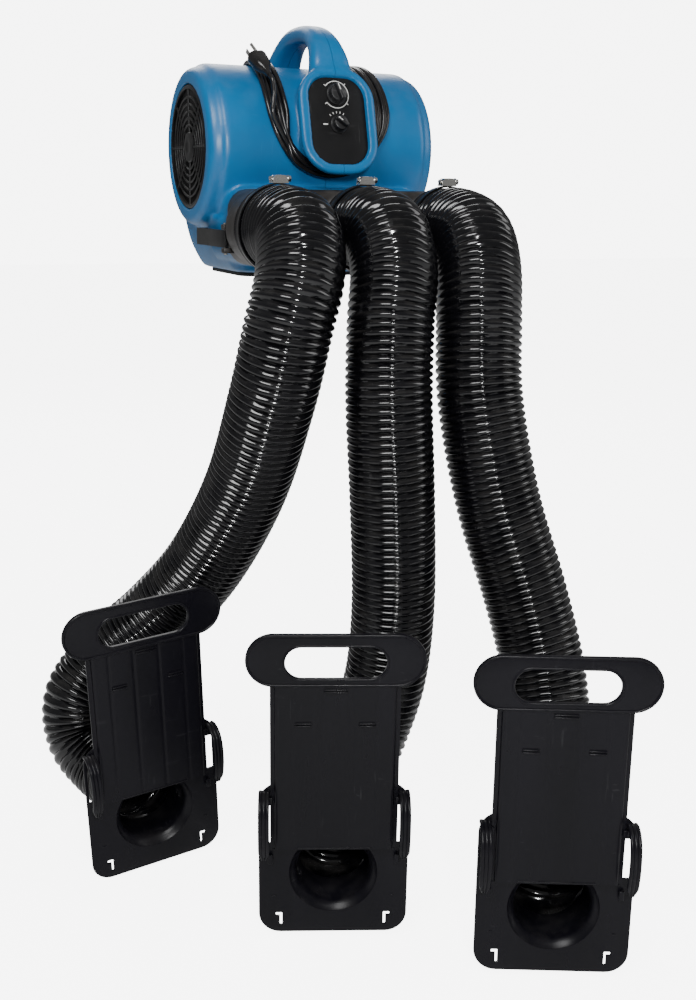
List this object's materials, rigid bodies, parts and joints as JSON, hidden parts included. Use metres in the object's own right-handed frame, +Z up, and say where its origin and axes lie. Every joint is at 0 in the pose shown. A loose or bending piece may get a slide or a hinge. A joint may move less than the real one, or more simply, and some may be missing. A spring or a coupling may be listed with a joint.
{
  "type": "multi-hose blower dryer",
  "caption": "Twin-inlet fan blower with a carrying handle and outlet manifold feeding flexible hoses that end in hook-on plates with slide gates.",
  "frame": {"origin": "middle of the underside of the blower's rubber base pad, where it stands on a shelf", "axes": "+X along the fan axis to the blower's right seen from behind, +Y to its back, +Z up; the hoses leave towards -Y and hang down"},
  "size_m": [0.6666, 0.9652, 1.144],
  "materials": {
    "moulded_blue": "satin moulded polyethylene",
    "black_plastic": "fine matt",
    "manifold_black": "satin",
    "panel_black": "matt",
    "plate_black": "semi-gloss moulded",
    "hose_black": "glossy vinyl",
    "cord_black": "shiny rubber jacket",
    "rubber_black": "matt",
    "bright_steel": "bright",
    "motor_grey": "satin",
    "wheel_grey": "satin"
  },
  "bodies": {
    "dryer": {"housing_left": "moulded_blue", "housing_right": "moulded_blue", "base_pad": "rubber_black", "inlet_grille_left": "black_plastic", "inlet_grille_right": "black_plastic", "motor": "motor_grey", "motor_yoke": "bright_steel", "run_capacitor": "black_plastic", "control_panel": "panel_black", "timer_body": "wheel_grey", "speed_switch": "wheel_grey", "outlet_manifold": "manifold_black", "manifold_seal": "rubber_black", "latch_pin_left": "bright_steel", "latch_pin_right": "bright_steel", "latch_keeper_left": "black_plastic", "latch_keeper_right": "black_plastic", "cord_strain_relief": "black_plastic", "power_cord_lead": "cord_black", "power_cord_coil": "cord_black", "power_cord_tail": "cord_black", "power_plug_body": "cord_black", "power_plug_blade_a": "bright_steel", "power_plug_blade_b": "bright_steel", "power_plug_ground_pin": "bright_steel", "neck_clamp_left_band": "bright_steel", "neck_clamp_left_screw": "bright_steel", "neck_clamp_middle_band": "bright_steel", "neck_clamp_middle_screw": "bright_steel", "neck_clamp_right_band": "bright_steel", "neck_clamp_right_screw": "bright_steel", "plate_clamp_left_band": "bright_steel", "plate_clamp_left_screw": "bright_steel", "plate_clamp_middle_band": "bright_steel", "plate_clamp_middle_screw": "bright_steel", "plate_clamp_right_band": "bright_steel", "plate_clamp_right_screw": "bright_steel", "hose_left": "hose_black", "hose_middle": "hose_black", "hose_right": "hose_black", "outlet_bracket_left": "plate_black", "outlet_bracket_middle": "plate_black", "outlet_bracket_right": "plate_black"},
    "rotor": {"motor_shaft": "bright_steel", "fan_wheel_left": "wheel_grey", "fan_wheel_right": "wheel_grey"},
    "timer_dial": {"timer_knob": "black_plastic"},
    "speed_dial": {"speed_knob": "black_plastic"},
    "latch_left": {"latch_arm_left": "manifold_black"},
    "latch_right": {"latch_arm_right": "manifold_black"},
    "gate_left": {"slide_gate_left": "plate_black"},
    "gate_middle": {"slide_gate_middle": "plate_black"},
    "gate_right": {"slide_gate_right": "plate_black"}
  },
  "joints": [
    {"name": "fan_rotor", "type": "hinge", "parent": "dryer", "child": "rotor", "pos_m": [0, 0, 0.182], "axis": [1, 0, 0], "continuous": true},
    {"name": "timer_turn", "type": "hinge", "parent": "dryer", "child": "timer_dial", "pos_m": [0, -0.14642, 0.25474], "axis": [0, -0.9659, 0.2588], "range_deg": [-255, 40]},
    {"name": "speed_turn", "type": "hinge", "parent": "dryer", "child": "speed_dial", "pos_m": [0, -0.15729, 0.21417], "axis": [0, -0.9659, 0.2588], "range_deg": [-85, 25]},
    {"name": "latch_left_swing", "type": "hinge", "parent": "dryer", "child": "latch_left", "pos_m": [-0.1675, -0.15, 0.0565], "axis": [0, 0, 1], "range_deg": [0, 100]},
    {"name": "latch_right_swing", "type": "hinge", "parent": "dryer", "child": "latch_right", "pos_m": [0.1675, -0.15, 0.0565], "axis": [0, 0, -1], "range_deg": [0, 100]},
    {"name": "gate_left_slide", "type": "slide", "parent": "dryer", "child": "gate_left", "axis": [-0.0619, -0.0927, 0.9938], "range_m": [-0.09, 0.03]},
    {"name": "gate_middle_slide", "type": "slide", "parent": "dryer", "child": "gate_middle", "axis": [-0.0131, -0.0324, 0.9994], "range_m": [-0.09, 0.03]},
    {"name": "gate_right_slide", "type": "slide", "parent": "dryer", "child": "gate_right", "axis": [0, 0, 1], "range_m": [-0.09, 0.03]}
  ]
}
